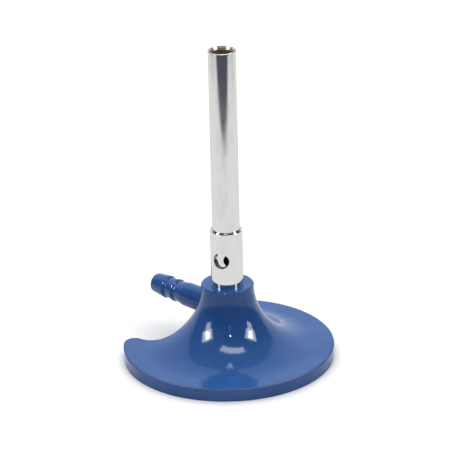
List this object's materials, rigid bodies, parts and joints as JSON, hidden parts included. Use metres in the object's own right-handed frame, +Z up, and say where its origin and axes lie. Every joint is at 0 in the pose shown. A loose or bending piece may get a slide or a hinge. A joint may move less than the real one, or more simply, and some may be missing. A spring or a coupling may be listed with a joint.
{
  "type": "bunsen burner",
  "caption": "Bench gas burner: a flared round foot with a hose notch, a barbed side nozzle, a screwed-in jet, an upright plated barrel and a turning air collar.",
  "frame": {"origin": "on the bench, on the barrel's axis, at the middle of the foot's underside", "axes": "+Z up along the barrel, -X along the hose nozzle towards its tip"},
  "size_m": [0.0989, 0.1, 0.1524],
  "materials": {
    "blue_enamel": "glossy stoved enamel on a casting",
    "plated_neck": "nickel plated brass, bright",
    "plated_tube": "nickel plated brass, bright, fine drawn lines",
    "plated_collar": "nickel plated brass, bright, fine turned lines",
    "spring_steel": "bare spring strip",
    "jet_brass": "turned brass",
    "washer_aluminium": "soft sealing washer"
  },
  "bodies": {
    "base": {"base_casting": "blue_enamel", "hose_nozzle": "blue_enamel", "gas_jet": "jet_brass", "jet_washer": "washer_aluminium"},
    "friction_ring": {"friction_ring": "spring_steel"},
    "barrel": {"mixer_neck": "plated_neck", "burner_tube": "plated_tube"},
    "air_collar": {"air_collar": "plated_collar"}
  },
  "joints": [
    {"name": "barrel_lift", "type": "slide", "parent": "base", "child": "friction_ring", "axis": [0, 0, 1], "range_m": [0, 0.006]},
    {"name": "barrel_turn", "type": "hinge", "parent": "friction_ring", "child": "barrel", "pos_m": [0, 0, 0.0345], "axis": [0, 0, 1], "range_deg": [0, 2160]},
    {"name": "collar_turn", "type": "hinge", "parent": "barrel", "child": "air_collar", "pos_m": [0, 0, 0.052], "axis": [0, 0, 1], "continuous": true}
  ],
  "couplings": [
    {"joint": "barrel_turn", "follows": "barrel_lift", "rad_per_m": 6283.2}
  ]
}
